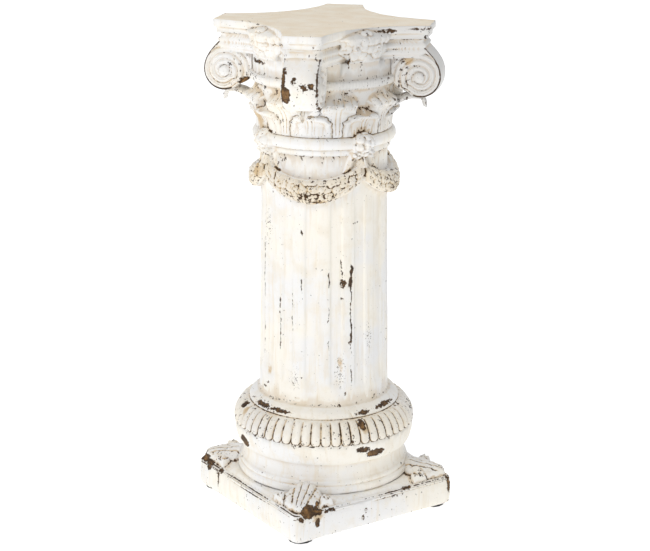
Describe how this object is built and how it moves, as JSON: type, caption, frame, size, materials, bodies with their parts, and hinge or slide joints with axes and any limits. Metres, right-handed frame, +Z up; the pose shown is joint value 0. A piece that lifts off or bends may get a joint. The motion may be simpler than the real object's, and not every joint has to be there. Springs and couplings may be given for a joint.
{
  "type": "decorative column",
  "caption": "Square-plinth pedestal column with fluted shaft, garlands, leafy bell, corner volutes and a flat hollow-sided top for standing things on.",
  "frame": {"origin": "centre of the underside, on the ground between the foot pads", "axes": "+Z up along the column's axis; +X, -X, +Y and -Y are the plinth's four sides, and the volutes stand over its corners"},
  "size_m": [0.3114, 0.3114, 0.8],
  "materials": {
    "distressed_paint": "worn cream-white paint over dark brown, chipped, matte",
    "pad_rubber": "matte black"
  },
  "bodies": {
    "root": {"column": "distressed_paint", "foot_pad_front": "pad_rubber", "foot_pad_right": "pad_rubber", "foot_pad_back": "pad_rubber", "foot_pad_left": "pad_rubber"}
  },
  "joints": []
}
